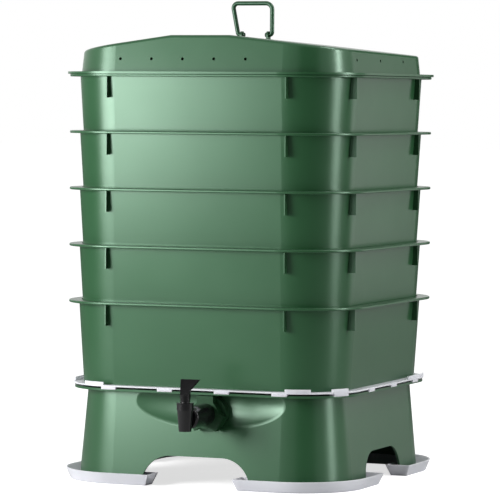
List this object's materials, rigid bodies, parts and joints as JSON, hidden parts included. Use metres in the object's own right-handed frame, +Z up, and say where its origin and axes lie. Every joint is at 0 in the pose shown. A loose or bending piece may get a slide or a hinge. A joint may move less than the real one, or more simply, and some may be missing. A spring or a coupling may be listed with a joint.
{
  "type": "stacking wormery",
  "caption": "Square stacking wormery: nested composting trays on a flared sump base with a drain tap, foot trays and a low gabled lid with a wire handle.",
  "frame": {"origin": "on the floor, at the middle of the square footprint of the stack", "axes": "+Z up, front with the tap towards -Y, +X to the right seen from the front"},
  "size_m": [0.426, 0.4922, 0.645],
  "materials": {
    "green_plastic": "moulded polypropylene, satin dark green",
    "green_wire": "plastic-dipped steel wire, dark green",
    "white_plastic": "moulded polypropylene, white",
    "black_plastic": "moulded, glossy black",
    "seal_rubber": "black seal rubber"
  },
  "bodies": {
    "feet": {"foot_tray_front_right": "white_plastic", "foot_tray_front_left": "white_plastic", "foot_tray_back_right": "white_plastic", "foot_tray_back_left": "white_plastic"},
    "base": {"base": "green_plastic", "tap_body": "black_plastic", "tap_cap": "black_plastic", "tap_outer_nut": "green_plastic", "tap_outer_washer": "seal_rubber", "tap_inner_washer": "seal_rubber", "tap_back_nut": "black_plastic"},
    "tap_turning": {"tap_plug": "black_plastic", "tap_handle": "black_plastic", "tap_upper_o_ring": "seal_rubber", "tap_lower_o_ring": "seal_rubber"},
    "drain_screen": {"drain_screen": "white_plastic"},
    "lid": {"lid": "green_plastic"},
    "lid_handle": {"lid_handle": "green_wire"},
    "tray_1": {"working_tray_1": "green_plastic"},
    "tray_2": {"working_tray_2": "green_plastic"},
    "tray_3": {"working_tray_3": "green_plastic"},
    "tray_4": {"working_tray_4": "green_plastic"},
    "tray_5": {"working_tray_5": "green_plastic"}
  },
  "joints": [
    {"name": "base_lift", "type": "slide", "parent": "feet", "child": "base", "axis": [0, 0, 1], "range_m": [0, 0.06]},
    {"name": "screen_lift", "type": "slide", "parent": "base", "child": "drain_screen", "axis": [0, 0, 1], "range_m": [0, 0.04]},
    {"name": "tray_5_lift", "type": "slide", "parent": "drain_screen", "child": "tray_5", "axis": [0, 0, 1], "range_m": [0, 0.08]},
    {"name": "tray_4_lift", "type": "slide", "parent": "tray_5", "child": "tray_4", "axis": [0, 0, 1], "range_m": [0, 0.08]},
    {"name": "tray_3_lift", "type": "slide", "parent": "tray_4", "child": "tray_3", "axis": [0, 0, 1], "range_m": [0, 0.08]},
    {"name": "tray_2_lift", "type": "slide", "parent": "tray_3", "child": "tray_2", "axis": [0, 0, 1], "range_m": [0, 0.08]},
    {"name": "tray_1_lift", "type": "slide", "parent": "tray_2", "child": "tray_1", "axis": [0, 0, 1], "range_m": [0, 0.08]},
    {"name": "lid_lift", "type": "slide", "parent": "tray_1", "child": "lid", "axis": [0, 0, 1], "range_m": [0, 0.08]},
    {"name": "lid_handle_swing", "type": "hinge", "parent": "lid", "child": "lid_handle", "pos_m": [0.002, 0, 0.599], "axis": [1, 0, 0], "range_deg": [-90, 90]},
    {"name": "tap_turn", "type": "hinge", "parent": "base", "child": "tap_turning", "pos_m": [0.0175, -0.268, 0.0976], "axis": [0, 0, -1], "range_deg": [0, 90]}
  ]
}
